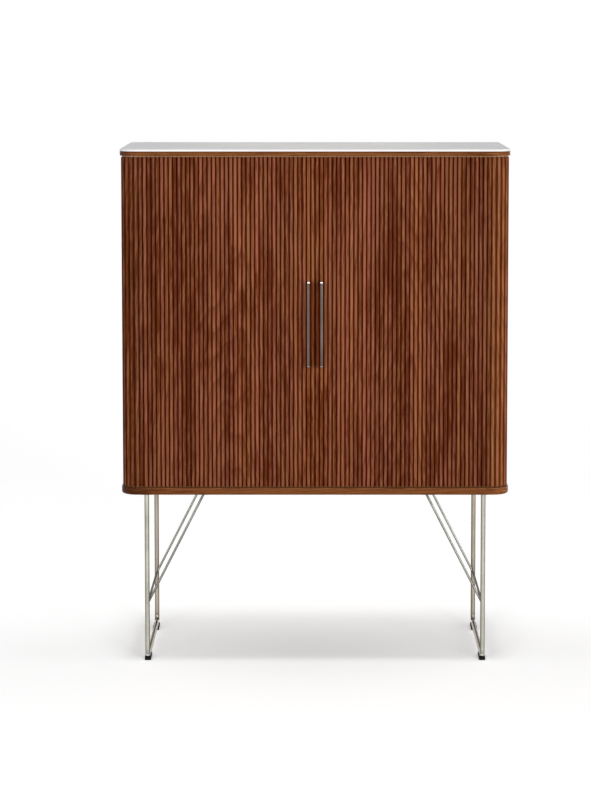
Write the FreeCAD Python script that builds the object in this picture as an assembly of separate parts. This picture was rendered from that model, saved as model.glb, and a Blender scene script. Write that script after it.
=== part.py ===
"""Bar cabinet with two tambour doors and a fold-out shelf, on two bent-rod leg frames.

Millimetres, +Z up. The doors face -Y, and the floor is z = 0. The origin is under the middle of the
whole outline, handles included. Right-hand pieces are drawn, and left-hand ones are their mirror image.
"""
import FreeCAD, Part
import math
import os

V = FreeCAD.Vector

# Overall sizes
WIDTH = 1000.0
DEPTH = 440.0
HEIGHT = 1330.0
LEG_HEIGHT = 440.0

# Top slab, top board and bottom board
SLAB_T = 5.0
TOP_T = 12.0
BOTTOM_T = 18.0
EDGE_OVERHANG = 3.0
REAR_CORNER_R = 10.0
SLAB_EASE = 0.8
TOP_EASE = 1.0
BOTTOM_EASE = 5.0

# Tambour slats, their tongues and the canvas behind them
SLAT_PITCH = 11.0
SLAT_GAP = 0.6
SLAT_T = 7.0
SLAT_CORNER_R = 40.0
SLAT_BASE_T = 2.6
REED_W = 8.0
REED_EASE = 0.7
TONGUE_T = 4.0
TONGUE_SHOW = 4.0
TONGUE_IN = 4.5
TONGUE_END_CLEAR = 1.0
TONGUE_SIDE_CLEAR = 0.25
CANVAS_T = 0.8
CANVAS_GAP = 0.1
CANVAS_END = 10.0
REAR_TURN_SHOW = 22.0

# Lead rail and square-bar handle of each door
LEAD_SLATS = 3
LEAD_BACK = 9.0
LEAD_END_CLEAR = 1.5
SEAM_GAP = 0.8
HANDLE_SLAT = 2
HANDLE_W = 7.0
HANDLE_LENGTH = 220.0
HANDLE_STAND = 28.0
HANDLE_ELBOW = 4.0
HANDLE_EASE = 0.8
HANDLE_RISE = 316.0
HANDLE_SCREW_DEEP = 10.0

# Fixed shell behind the tambour
BACK_T = 6.0
BACK_SCREWS = 5
BACK_SCREW_IN = 15.0
BACK_SCREW_FROM_END = 40.0
CHANNEL_CLEAR = 4.0
POST_W = 46.0
POST_EDGE = 2.0
POST_CLEAR = 1.5
POST_DOWEL_IN = 8.0
INNER_BACK_T = 6.0
INNER_BACK_CLEAR = 5.0
INNER_SIDE_T = 12.0
INNER_SIDE_CLEAR = 6.0
INNER_SETBACK = 27.0

# Fold-out shelf, its pivots and catches
FLAP_T = 18.0
FLAP_REACH = 215.0
FLAP_BELOW_GLASS = 31.0
AXIS_IN = 6.5
FLAP_END_CLEAR = 1.5
FLAP_FRONT_CLEAR = 3.0
HEEL_CLEAR = 0.8
NOTCH_W = 110.0
NOTCH_DEEP = 24.0
NOTCH_LIP = 3.0
PIVOT_D = 6.0
PIVOT_RUN_CLEAR = 0.08
PIVOT_IN_FLAP = 20.0
BUSH_WALL = 2.0
BUSH_FLANGE_D = 15.0
BUSH_FLANGE_T = 1.0
CLEAT_W = 16.0
CLEAT_H = 18.0
CLEAT_HEEL_CLEAR = 4.0
REST_CLEAR = 0.3
CATCH_W = 20.0
CATCH_D = 14.0
CATCH_H = 34.0
CATCH_BELOW_TOP = 20.0
MAGNET_D = 10.0
MAGNET_T = 4.0
STRIKE_D = 14.0
STRIKE_T = 1.2

# Loose shelves
SHELF_T = 16.0
GLASS_T = 8.0
GLASS_BELOW_TOP = 174.0
SHELF_SIDE_CLEAR = 1.5
SHELF_BACK_CLEAR = 2.0
PIN_D = 5.0
PIN_IN = 9.0
PIN_OUT = 10.0
PIN_FROM_EDGE = 45.0

# Leg frames, braces, bars and glides
LEG_D = 12.0
LEG_FROM_SIDE = 65.0
LEG_FROM_EDGE = 25.0
LEG_BEND = 20.0
RUNNER_LIFT = 3.0
BRACE_D = 6.0
BRACE_LEVEL = 148.0
BRACE_LEAN = 147.0
BRACE_BEND = 14.0
WELD_GAP = 0.2
BAR_T = 3.0
BAR_W = 30.0
BAR_END = 6.0
BAR_CORNER_R = 5.0
BAR_SCREW_FROM_LEG = 90.0
GLIDE_L = 60.0
GLIDE_W = 16.0
GLIDE_H = 8.0
GLIDE_FROM_LEG = 2.0
GLIDE_EASE = 3.0
GLIDE_CLEAR = 0.15

# Fasteners
SCREW_D = 4.0
SCREW_HEAD_D = 8.0
SCREW_CROWN_D = 5.6
SCREW_HEAD_H = 2.4
SCREW_GRIP = 11.0
DOWEL_D = 6.0
DOWEL_IN_BOARD = 7.0
DOWEL_IN_PANEL = 13.0
DOWEL_FROM_EDGE = 40.0
FASTENER_CLEAR = 0.1
BORE_SPARE = 1.0

# Levels
Z_FLOOR = LEG_HEIGHT + BOTTOM_T
Z_SLAB = HEIGHT - SLAB_T
Z_CEILING = Z_SLAB - TOP_T
Z_LEG_TOP = LEG_HEIGHT - BAR_T
Z_RUNNER = RUNNER_LIFT + LEG_D / 2

# Plan of the boards and the line that the backs of the slats follow
X_BOARD = WIDTH / 2
HANDLE_REACH = HANDLE_STAND - EDGE_OVERHANG
Y_FRONT = (HANDLE_REACH - DEPTH) / 2
Y_REAR = Y_FRONT + DEPTH
X_FACE = X_BOARD - EDGE_OVERHANG
Y_FACE = Y_FRONT + EDGE_OVERHANG
X_PATH = X_FACE - SLAT_T
Y_PATH = Y_FACE + SLAT_T
R_PATH = SLAT_CORNER_R - SLAT_T
Y_BACK_PANEL = Y_REAR - EDGE_OVERHANG - BACK_T
Y_PATH_REAR = Y_BACK_PANEL - CHANNEL_CLEAR - SLAT_T
FRONT_RUN = X_PATH - R_PATH
CORNER_RUN = R_PATH * math.pi / 2
SIDE_RUN = Y_PATH_REAR - Y_PATH - 2 * R_PATH
SLAT_BASE_W = SLAT_PITCH - SLAT_GAP
CHORD_RISE = (SLAT_BASE_W / 2) ** 2 / (2 * R_PATH)
GROOVE_OUT = TONGUE_T + CHORD_RISE + TONGUE_SIDE_CLEAR
GROOVE_IN = CHORD_RISE + TONGUE_SIDE_CLEAR
GROOVE_DEEP = TONGUE_IN + TONGUE_END_CLEAR
Z_TONGUE_LOW = Z_FLOOR - TONGUE_IN
Z_TONGUE_HIGH = Z_CEILING + TONGUE_IN
TONGUE_LENGTH = TONGUE_IN + TONGUE_SHOW

# How the slats divide along that line, from the seam outwards
LEAD_RUN = LEAD_SLATS * SLAT_PITCH
RUN_COUNT = int((FRONT_RUN - LEAD_RUN) / SLAT_PITCH)
WRAP_START = LEAD_RUN + RUN_COUNT * SLAT_PITCH
CORNER_END = FRONT_RUN + CORNER_RUN
WRAP_END = CORNER_END + SIDE_RUN + REAR_TURN_SHOW
WRAP_COUNT = int((WRAP_END - WRAP_START) / SLAT_PITCH)
CORNER_COUNT = int((CORNER_END - WRAP_START) / SLAT_PITCH)
SIDE_START = WRAP_START + CORNER_COUNT * SLAT_PITCH
SIDE_COUNT = WRAP_COUNT - CORNER_COUNT
X_HANDLE = (HANDLE_SLAT - 0.5) * SLAT_PITCH

# Inside faces and levels
X_SIDE_OUT = X_PATH - CANVAS_GAP - CANVAS_T - INNER_SIDE_CLEAR
X_INSIDE = X_SIDE_OUT - INNER_SIDE_T
Y_INSIDE = Y_PATH + INNER_SETBACK
Y_INNER_BACK = Y_PATH_REAR - INNER_BACK_CLEAR - INNER_BACK_T
HEEL_R = FLAP_T - AXIS_IN
Y_AXIS = Y_INSIDE + FLAP_FRONT_CLEAR + FLAP_REACH
Y_BAY = Y_AXIS + HEEL_R + HEEL_CLEAR
Z_GLASS = Z_CEILING - GLASS_BELOW_TOP
Z_FLAP_TOP = Z_GLASS - FLAP_BELOW_GLASS
Z_AXIS = Z_FLAP_TOP - FLAP_REACH
Z_BAY = Z_AXIS - AXIS_IN
Z_CLEAT = Z_BAY - REST_CLEAR - CLEAT_H
Z_SHELF = (Z_FLOOR + Z_CLEAT - SHELF_T) / 2
Z_CATCH = Z_FLAP_TOP - CATCH_BELOW_TOP - CATCH_H / 2
X_CATCH = X_INSIDE - CATCH_W / 2

# Legs
X_LEG = X_BOARD - LEG_FROM_SIDE
Y_LEG_FRONT = Y_FRONT + LEG_FROM_EDGE
Y_LEG_REAR = Y_REAR - LEG_FROM_EDGE
X_BRACE_TOP = X_LEG - BRACE_LEAN
BRACE_INSET = LEG_D / 2 + WELD_GAP + BRACE_D / 2


def block(x0, x1, y0, y1, z0, z1):
    """A box between two opposite corners."""
    return Part.makeBox(x1 - x0, y1 - y0, z1 - z0, V(x0, y0, z0))


def mirrored(shape):
    """The left-hand twin of a right-hand shape."""
    return shape.mirror(V(0, 0, 0), V(1, 0, 0))


def unit(vector):
    return vector * (1 / vector.Length)


def bent_wire(points, radii, closed=False):
    """Straight runs between the points, with a tangent arc at each point that has a radius."""
    count = len(points)
    arcs = []
    for i, point in enumerate(points):
        if not radii[i]:
            arcs.append((point, None, point))
            continue
        back = unit(points[i - 1] - point)
        ahead = unit(points[(i + 1) % count] - point)
        half_turn = back.getAngle(ahead) / 2
        reach = radii[i] / math.tan(half_turn)
        middle = unit(back + ahead) * (radii[i] / math.sin(half_turn) - radii[i])
        arcs.append((point + back * reach, point + middle, point + ahead * reach))
    edges = []
    for i in range(count):
        into, middle, out = arcs[i]
        if i or closed:
            edges.append(Part.makeLine(arcs[i - 1][2], into))
        if middle:
            edges.append(Part.Arc(into, middle, out).toShape())
    return Part.Wire(edges)


def rod(points, bend, diameter):
    """A round bar bent at every inner point."""
    radii = [0] + [bend] * (len(points) - 2) + [0]
    path = bent_wire(points, radii)
    section = Part.Wire(Part.makeCircle(diameter / 2, points[0], points[1] - points[0]))
    return path.makePipeShell([section], True, False)


def plan(x_half, y_front, y_rear, r_front, r_rear, z0, z1):
    """An upright prism on a rectangle with rounded front and rear corners."""
    corners = [
        V(-x_half, y_front, z0),
        V(x_half, y_front, z0),
        V(x_half, y_rear, z0),
        V(-x_half, y_rear, z0),
    ]
    outline = bent_wire(corners, [r_front, r_front, r_rear, r_rear], closed=True)
    return Part.Face(outline).extrude(V(0, 0, z1 - z0))


def along_path(offset, z0, z1):
    """The prism inside the slats' line, with the line moved outwards by the offset."""
    radius = R_PATH + offset
    return plan(X_PATH + offset, Y_PATH - offset, Y_PATH_REAR + offset, radius, radius, z0, z1)


def on_path(run):
    """Place and heading in degrees on the slats' line, a given run from the seam."""
    if run <= FRONT_RUN:
        return V(run, Y_PATH, 0), 0.0
    run -= FRONT_RUN
    if run <= CORNER_RUN:
        turn = run / R_PATH
        x = FRONT_RUN + R_PATH * math.sin(turn)
        return V(x, Y_PATH + R_PATH * (1 - math.cos(turn)), 0), math.degrees(turn)
    run -= CORNER_RUN
    if run <= SIDE_RUN:
        return V(X_PATH, Y_PATH + R_PATH + run, 0), 90.0
    turn = (run - SIDE_RUN) / R_PATH
    x = FRONT_RUN + R_PATH * math.cos(turn)
    y = Y_PATH_REAR - R_PATH + R_PATH * math.sin(turn)
    return V(x, y, 0), 90.0 + math.degrees(turn)


def level_edges(shape, z):
    """The edges that lie at one level."""
    return [e for e in shape.Edges if abs(e.BoundBox.ZMin - z) + abs(e.BoundBox.ZMax - z) < 1e-6]


def board(z0, z1):
    corner = SLAT_CORNER_R + EDGE_OVERHANG
    return plan(X_BOARD, Y_FRONT, Y_REAR, corner, REAR_CORNER_R, z0, z1)


def tongue_groove(z0, z1):
    """The track for the slats' tongues, right round a board."""
    return along_path(GROOVE_OUT, z0, z1).cut(along_path(-GROOVE_IN, z0, z1))


def dowel_points():
    """Plan places of the dowels in one inner side and one rear post."""
    x_side = (X_SIDE_OUT + X_INSIDE) / 2
    places = [V(x_side, Y_INSIDE + DOWEL_FROM_EDGE, 0), V(x_side, Y_INNER_BACK - DOWEL_FROM_EDGE, 0)]
    return places + [V(X_FACE - POST_DOWEL_IN, Y_BACK_PANEL - POST_DOWEL_IN, 0)]


def dowel_bodies(clear, spare):
    """Dowels at the foot and head of the inner sides and posts, or their holes when given clearances."""
    bodies = []
    for place in dowel_points():
        for level, into in ((Z_FLOOR, -1), (Z_CEILING, 1)):
            foot = V(place.x, place.y, level + into * (DOWEL_IN_BOARD + spare))
            length = DOWEL_IN_BOARD + DOWEL_IN_PANEL + 2 * spare
            dowel = Part.makeCylinder(DOWEL_D / 2 + clear, length, foot, V(0, 0, -into))
            bodies += [dowel, mirrored(dowel)]
    return bodies


def screw(place, direction):
    """A pan-head screw, with its head's seat at the place and its shank along the direction."""
    shank = Part.makeCylinder(SCREW_D / 2, SCREW_GRIP, place, direction)
    head = Part.makeCone(SCREW_HEAD_D / 2, SCREW_CROWN_D / 2, SCREW_HEAD_H, place, direction * -1)
    return shank.fuse(head)


def screw_bore(place, direction, length):
    return Part.makeCylinder(SCREW_D / 2 + FASTENER_CLEAR, length, place, direction)


def top_slab():
    slab = board(Z_SLAB, HEIGHT)
    return slab.makeChamfer(SLAB_EASE, level_edges(slab, HEIGHT))


def top_board():
    shape = board(Z_CEILING, Z_SLAB)
    shape = shape.makeChamfer(TOP_EASE, level_edges(shape, Z_CEILING))
    groove = tongue_groove(Z_CEILING, Z_CEILING + GROOVE_DEEP)
    return shape.cut([groove] + dowel_bodies(FASTENER_CLEAR, BORE_SPARE))


def bar_screw_points():
    """Where the leg and brace bars are screwed to the bottom board, on the right."""
    ys = (Y_LEG_FRONT + BAR_SCREW_FROM_LEG, Y_LEG_REAR - BAR_SCREW_FROM_LEG)
    return [V(x, y, Z_LEG_TOP) for x in (X_LEG, X_BRACE_TOP) for y in ys]


def bottom_board():
    shape = board(LEG_HEIGHT, Z_FLOOR)
    shape = shape.makeFillet(BOTTOM_EASE, level_edges(shape, LEG_HEIGHT))
    shape = shape.makeChamfer(TOP_EASE, level_edges(shape, Z_FLOOR))
    cuts = [tongue_groove(Z_FLOOR - GROOVE_DEEP, Z_FLOOR)]
    cuts += dowel_bodies(FASTENER_CLEAR, BORE_SPARE)
    for place in bar_screw_points():
        bore = screw_bore(place, V(0, 0, 1), SCREW_GRIP + BORE_SPARE)
        cuts += [bore, mirrored(bore)]
    return shape.cut(cuts)


def back_screw_points():
    """Screws through the back panel into the right rear post."""
    low = Z_FLOOR + BACK_SCREW_FROM_END
    step = (Z_CEILING - BACK_SCREW_FROM_END - low) / (BACK_SCREWS - 1)
    return [V(X_FACE - BACK_SCREW_IN, Y_REAR - EDGE_OVERHANG, low + i * step) for i in range(BACK_SCREWS)]


def rear_post():
    """A corner post, hollowed to the arc that the tambour takes into the back."""
    shape = block(X_FACE - POST_W, X_FACE, Y_FACE, Y_BACK_PANEL, Z_FLOOR, Z_CEILING)
    turn = SLAT_CORNER_R + POST_CLEAR
    edge = math.sqrt(turn ** 2 - (SLAT_CORNER_R - POST_EDGE) ** 2)
    y_edge = Y_PATH_REAR - R_PATH + edge
    shape = shape.common(block(0, X_BOARD, y_edge, Y_REAR, Z_FLOOR, Z_CEILING))
    cuts = [along_path(SLAT_T + POST_CLEAR, Z_FLOOR, Z_CEILING)]
    cuts += dowel_bodies(FASTENER_CLEAR, BORE_SPARE)
    cuts += [screw_bore(p, V(0, -1, 0), SCREW_GRIP + BORE_SPARE) for p in back_screw_points()]
    return shape.cut(cuts)


def back_panel():
    shape = block(-X_FACE, X_FACE, Y_BACK_PANEL, Y_REAR - EDGE_OVERHANG, Z_FLOOR, Z_CEILING)
    bores = [screw_bore(p, V(0, -1, 0), BACK_T) for p in back_screw_points()]
    return shape.cut(bores + [mirrored(b) for b in bores])


def back_screws():
    screws = [screw(p, V(0, -1, 0)) for p in back_screw_points()]
    return screws + [mirrored(s) for s in screws]


def inner_back():
    return block(-X_SIDE_OUT, X_SIDE_OUT, Y_INNER_BACK, Y_INNER_BACK + INNER_BACK_T, Z_FLOOR, Z_CEILING)


def pin_places(level):
    """Seats of a loose shelf's pins in the right inner side, under the shelf's lower face."""
    ys = (Y_INSIDE + PIN_FROM_EDGE, Y_INNER_BACK - PIN_FROM_EDGE)
    return [V(X_INSIDE - PIN_OUT, y, level - PIN_D / 2) for y in ys]


def pins(clear):
    """Shelf pins of the lower shelf and the glass shelf on the right, or their holes."""
    length = PIN_OUT + PIN_IN
    if clear:
        length += BORE_SPARE
    places = pin_places(Z_SHELF) + pin_places(Z_GLASS)
    return [Part.makeCylinder(PIN_D / 2 + clear, length, p, V(1, 0, 0)) for p in places]


def bay_dowels(clear):
    """Dowels that carry the bay shelf on the right, or their holes."""
    spare = BORE_SPARE if clear else 0
    x0 = X_INSIDE - DOWEL_IN_PANEL - spare
    length = DOWEL_IN_PANEL + DOWEL_IN_BOARD + 2 * spare
    z = Z_BAY + FLAP_T / 2
    ys = (Y_BAY + DOWEL_FROM_EDGE, Y_INNER_BACK - DOWEL_FROM_EDGE)
    return [Part.makeCylinder(DOWEL_D / 2 + clear, length, V(x0, y, z), V(1, 0, 0)) for y in ys]


def inner_side():
    shape = block(X_INSIDE, X_SIDE_OUT, Y_INSIDE, Y_INNER_BACK, Z_FLOOR, Z_CEILING)
    bush_hole_r = PIVOT_D / 2 + PIVOT_RUN_CLEAR + BUSH_WALL + FASTENER_CLEAR
    hole = Part.makeCylinder(bush_hole_r, INNER_SIDE_T, V(X_INSIDE, Y_AXIS, Z_AXIS), V(1, 0, 0))
    cuts = [hole] + pins(FASTENER_CLEAR) + bay_dowels(FASTENER_CLEAR)
    return shape.cut(cuts + dowel_bodies(FASTENER_CLEAR, BORE_SPARE))


def pivot_bush():
    """A flanged bush that lines the pivot hole."""
    bore_r = PIVOT_D / 2 + PIVOT_RUN_CLEAR
    seat = V(X_INSIDE, Y_AXIS, Z_AXIS)
    sleeve = Part.makeCylinder(bore_r + BUSH_WALL, INNER_SIDE_T, seat, V(1, 0, 0))
    flange = Part.makeCylinder(BUSH_FLANGE_D / 2, BUSH_FLANGE_T, seat, V(-1, 0, 0))
    bore_from = V(X_INSIDE - BUSH_FLANGE_T, Y_AXIS, Z_AXIS)
    bore = Part.makeCylinder(bore_r, INNER_SIDE_T + BUSH_FLANGE_T, bore_from, V(1, 0, 0))
    return sleeve.fuse(flange).cut(bore)


def bay_shelf():
    shape = block(-X_INSIDE, X_INSIDE, Y_BAY, Y_INNER_BACK, Z_BAY, Z_BAY + FLAP_T)
    holes = bay_dowels(FASTENER_CLEAR)
    return shape.cut(holes + [mirrored(h) for h in holes])


def loose_shelf(z0, thickness):
    x = X_INSIDE - SHELF_SIDE_CLEAR
    shape = block(-x, x, Y_INSIDE, Y_INNER_BACK - SHELF_BACK_CLEAR, z0, z0 + thickness)
    return shape.makeChamfer(TOP_EASE, [e for e in shape.Edges if e.BoundBox.YMax - Y_INSIDE < 1e-6])


def cleat():
    """A side batten that the folded shelf comes to rest on."""
    y1 = Y_AXIS - HEEL_R - CLEAT_HEEL_CLEAR
    return block(X_INSIDE - CLEAT_W, X_INSIDE, Y_INSIDE, y1, Z_CLEAT, Z_CLEAT + CLEAT_H)


def catch_block():
    """A block behind the stowed shelf, with a pocket for its magnet."""
    y0 = Y_AXIS + HEEL_R + REST_CLEAR
    z0 = Z_CATCH - CATCH_H / 2
    shape = block(X_INSIDE - CATCH_W, X_INSIDE, y0, y0 + CATCH_D, z0, z0 + CATCH_H)
    pocket_r = MAGNET_D / 2 + FASTENER_CLEAR
    pocket = Part.makeCylinder(pocket_r, MAGNET_T, V(X_CATCH, y0, Z_CATCH), V(0, 1, 0))
    return shape.cut(pocket)


def catch_magnet():
    y0 = Y_AXIS + HEEL_R + REST_CLEAR
    return Part.makeCylinder(MAGNET_D / 2, MAGNET_T, V(X_CATCH, y0, Z_CATCH), V(0, 1, 0))


def catch_strike(clear):
    """A steel disc let into the back of the shelf, facing the magnet, or its recess."""
    y0 = Y_AXIS + HEEL_R - STRIKE_T
    return Part.makeCylinder(STRIKE_D / 2 + clear, STRIKE_T, V(X_CATCH, y0, Z_CATCH), V(0, 1, 0))


def pivot_pin(clear):
    """A pin in the end of the shelf, running in its bush, or its hole."""
    spare = BORE_SPARE if clear else 0
    x_end = X_INSIDE - FLAP_END_CLEAR
    length = PIVOT_IN_FLAP + spare
    if not clear:
        length += FLAP_END_CLEAR + INNER_SIDE_T
    start = V(x_end - PIVOT_IN_FLAP - spare, Y_AXIS, Z_AXIS)
    return Part.makeCylinder(PIVOT_D / 2 + clear, length, start, V(1, 0, 0))


def fold_out_shelf():
    """The shelf standing upright, with a heel rounded about its pivot and a finger notch at the top."""
    x = X_INSIDE - FLAP_END_CLEAR
    y_front = Y_AXIS - AXIS_IN
    z_toe = Z_AXIS - math.sqrt(HEEL_R ** 2 - AXIS_IN ** 2)
    slant = HEEL_R / math.sqrt(2)
    toe = V(-x, y_front, z_toe)
    heel = V(-x, Y_AXIS + HEEL_R, Z_AXIS)
    rear_top = V(-x, Y_AXIS + HEEL_R, Z_FLAP_TOP)
    front_top = V(-x, y_front, Z_FLAP_TOP)
    outline = Part.Wire([
        Part.Arc(toe, V(-x, Y_AXIS + slant, Z_AXIS - slant), heel).toShape(),
        Part.makeLine(heel, rear_top),
        Part.makeLine(rear_top, front_top),
        Part.makeLine(front_top, toe),
    ])
    shape = Part.Face(outline).extrude(V(2 * x, 0, 0))
    corner = NOTCH_DEEP - NOTCH_LIP
    notch = bent_wire(
        [
            V(-NOTCH_W / 2, y_front, Z_FLAP_TOP),
            V(-NOTCH_W / 2, y_front, Z_FLAP_TOP - NOTCH_DEEP),
            V(NOTCH_W / 2, y_front, Z_FLAP_TOP - NOTCH_DEEP),
            V(NOTCH_W / 2, y_front, Z_FLAP_TOP),
        ],
        [0, corner, corner, 0],
        closed=True,
    )
    cuts = [Part.Face(notch).extrude(V(0, FLAP_T, 0))]
    for cut in (pivot_pin(FASTENER_CLEAR), catch_strike(FASTENER_CLEAR)):
        cuts += [cut, mirrored(cut)]
    return shape.cut(cuts)


def reed_points(centre):
    """One reed's section from its left foot to its right foot, as (along, outward) pairs."""
    half = REED_W / 2
    right = [(half, SLAT_BASE_T), (half, SLAT_T - REED_EASE), (half - REED_EASE, SLAT_T)]
    left = [(-along, out) for along, out in right]
    return [(centre + along, out) for along, out in left + right[::-1]]


def slat_prism(section):
    """A section drawn as (along, outward) pairs on the seam's line, run from tongue end to tongue end."""
    points = [V(along, -out, Z_TONGUE_LOW) for along, out in section]
    face = Part.Face(Part.makePolygon(points + points[:1]))
    return face.extrude(V(0, 0, Z_TONGUE_HIGH - Z_TONGUE_LOW))


def end_notches(x0, x1, out0, out1, length):
    """Cutters that shorten part of a slat at both of its ends."""
    low = block(x0, x1, -out1, -out0, Z_TONGUE_LOW, Z_TONGUE_LOW + length)
    high = block(x0, x1, -out1, -out0, Z_TONGUE_HIGH - length, Z_TONGUE_HIGH)
    return [low, high]


def slat():
    """One slat, centred on the seam's line: a reed on a wider base, with a tongue at each end."""
    half = SLAT_BASE_W / 2
    section = [(-half, 0), (-half, SLAT_BASE_T)] + reed_points(0) + [(half, SLAT_BASE_T), (half, 0)]
    return slat_prism(section).cut(end_notches(-half, half, TONGUE_T, SLAT_T, TONGUE_LENGTH))


def slats(first_run, count):
    """A row of slats set along the tambour's line, the first one starting at the given run."""
    pattern = slat()
    row = []
    for i in range(count):
        place, heading = on_path(first_run + (i + 0.5) * SLAT_PITCH)
        copy = pattern.copy()
        copy.Placement = FreeCAD.Placement(place, FreeCAD.Rotation(V(0, 0, 1), heading))
        row.append(copy)
    return row


def handle_levels():
    """Heights of the two ends' centre lines."""
    low = Z_FLOOR + HANDLE_RISE + HANDLE_W / 2
    return low, low + HANDLE_LENGTH - HANDLE_W


def lead_rail():
    """The door's stiff leading edge: a few reeds in one piece, on a thicker back, with tongues."""
    x0 = SEAM_GAP / 2
    x1 = LEAD_RUN - SLAT_GAP / 2
    section = [(x0, -LEAD_BACK), (x0, SLAT_BASE_T)]
    for i in range(LEAD_SLATS):
        section += reed_points((i + 0.5) * SLAT_PITCH)
    section += [(x1, SLAT_BASE_T), (x1, -LEAD_BACK)]
    cuts = end_notches(x0, x1, TONGUE_T, SLAT_T, TONGUE_LENGTH)
    cuts += end_notches(x0, x1, -LEAD_BACK, 0, TONGUE_IN + LEAD_END_CLEAR)
    rail = slat_prism(section).cut(cuts)
    rail.translate(V(0, Y_PATH, 0))
    through = LEAD_BACK + SLAT_T
    y_back = Y_PATH + LEAD_BACK
    return rail.cut([screw_bore(V(X_HANDLE, y_back, z), V(0, -1, 0), through) for z in handle_levels()])


def handle():
    """A square bar bowed out from the lead rail, with tight elbows and eased edges, tapped at both ends."""
    low, high = handle_levels()
    half = HANDLE_W / 2
    x0 = X_HANDLE - half
    y_out = Y_FACE - HANDLE_STAND
    y_in = y_out + HANDLE_W
    corners = [
        V(x0, Y_FACE, low - half),
        V(x0, y_out, low - half),
        V(x0, y_out, high + half),
        V(x0, Y_FACE, high + half),
        V(x0, Y_FACE, high - half),
        V(x0, y_in, high - half),
        V(x0, y_in, low + half),
        V(x0, Y_FACE, low + half),
    ]
    elbows = [0, HANDLE_ELBOW, HANDLE_ELBOW, 0, 0, 0, 0, 0]
    shape = Part.Face(bent_wire(corners, elbows, closed=True)).extrude(V(HANDLE_W, 0, 0))
    flat = [e for e in shape.Edges if e.BoundBox.XLength < 1e-6]
    shape = shape.makeChamfer(HANDLE_EASE, [e for e in flat if e.BoundBox.YMin < Y_FACE - HANDLE_EASE])
    taps = [screw_bore(V(X_HANDLE, Y_FACE, z), V(0, -1, 0), HANDLE_SCREW_DEEP) for z in (low, high)]
    return shape.cut(taps)


def handle_screws():
    """Screws from behind the lead rail into the handle."""
    grip = LEAD_BACK + SLAT_T + HANDLE_SCREW_DEEP - BORE_SPARE
    row = []
    for z in handle_levels():
        place = V(X_HANDLE, Y_PATH + LEAD_BACK, z)
        shank = Part.makeCylinder(SCREW_D / 2, grip, place, V(0, -1, 0))
        row.append(screw(place, V(0, -1, 0)).fuse(shank).removeSplitter())
    return row


def run_canvas():
    """The cloth behind the flat run of slats."""
    y0 = Y_PATH + CANVAS_GAP
    z0 = Z_FLOOR + CANVAS_END
    x1 = WRAP_START - SLAT_GAP / 2
    return block(LEAD_RUN - SLAT_GAP / 2, x1, y0, y0 + CANVAS_T, z0, Z_CEILING - CANVAS_END)


def wrap_canvas():
    """The cloth behind the corner and side slats."""
    z0 = Z_FLOOR + CANVAS_END
    z1 = Z_CEILING - CANVAS_END
    ring = along_path(-CANVAS_GAP, z0, z1).cut(along_path(-CANVAS_GAP - CANVAS_T, z0, z1))
    end, _ = on_path(WRAP_START + WRAP_COUNT * SLAT_PITCH)
    return ring.common(block(WRAP_START, X_BOARD, Y_FRONT, end.y, z0, z1))


def leg_points():
    return [
        V(X_LEG, Y_LEG_FRONT, Z_LEG_TOP),
        V(X_LEG, Y_LEG_FRONT, Z_RUNNER),
        V(X_LEG, Y_LEG_REAR, Z_RUNNER),
        V(X_LEG, Y_LEG_REAR, Z_LEG_TOP),
    ]


def leg_frame():
    """Front leg, floor runner and rear leg in one bent bar."""
    return rod(leg_points(), LEG_BEND, LEG_D)


def brace():
    """A thinner bar from under the board to the legs, along them and back up."""
    y0 = Y_LEG_FRONT + BRACE_INSET
    y1 = Y_LEG_REAR - BRACE_INSET
    points = [
        V(X_BRACE_TOP, y0, Z_LEG_TOP),
        V(X_LEG, y0, BRACE_LEVEL),
        V(X_LEG, y1, BRACE_LEVEL),
        V(X_BRACE_TOP, y1, Z_LEG_TOP),
    ]
    longer = V(X_BRACE_TOP - X_LEG, 0, Z_LEG_TOP - BRACE_LEVEL) * (BRACE_D / (Z_LEG_TOP - BRACE_LEVEL))
    points[0] += longer
    points[3] += longer
    bar = rod(points, BRACE_BEND, BRACE_D)
    return bar.common(block(0, X_BOARD, Y_FRONT, Y_REAR, 0, Z_LEG_TOP))


def bar(x):
    """A flat steel bar under the board that the rods are welded to."""
    corners = [
        V(x - BAR_W / 2, Y_LEG_FRONT - BAR_END, Z_LEG_TOP),
        V(x + BAR_W / 2, Y_LEG_FRONT - BAR_END, Z_LEG_TOP),
        V(x + BAR_W / 2, Y_LEG_REAR + BAR_END, Z_LEG_TOP),
        V(x - BAR_W / 2, Y_LEG_REAR + BAR_END, Z_LEG_TOP),
    ]
    shape = Part.Face(bent_wire(corners, [BAR_CORNER_R] * 4, closed=True)).extrude(V(0, 0, BAR_T))
    return shape.cut([screw_bore(p, V(0, 0, 1), BAR_T) for p in bar_screw_points()])


def leg_screws():
    screws = [screw(p, V(0, 0, 1)) for p in bar_screw_points()]
    return screws + [mirrored(s) for s in screws]


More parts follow.
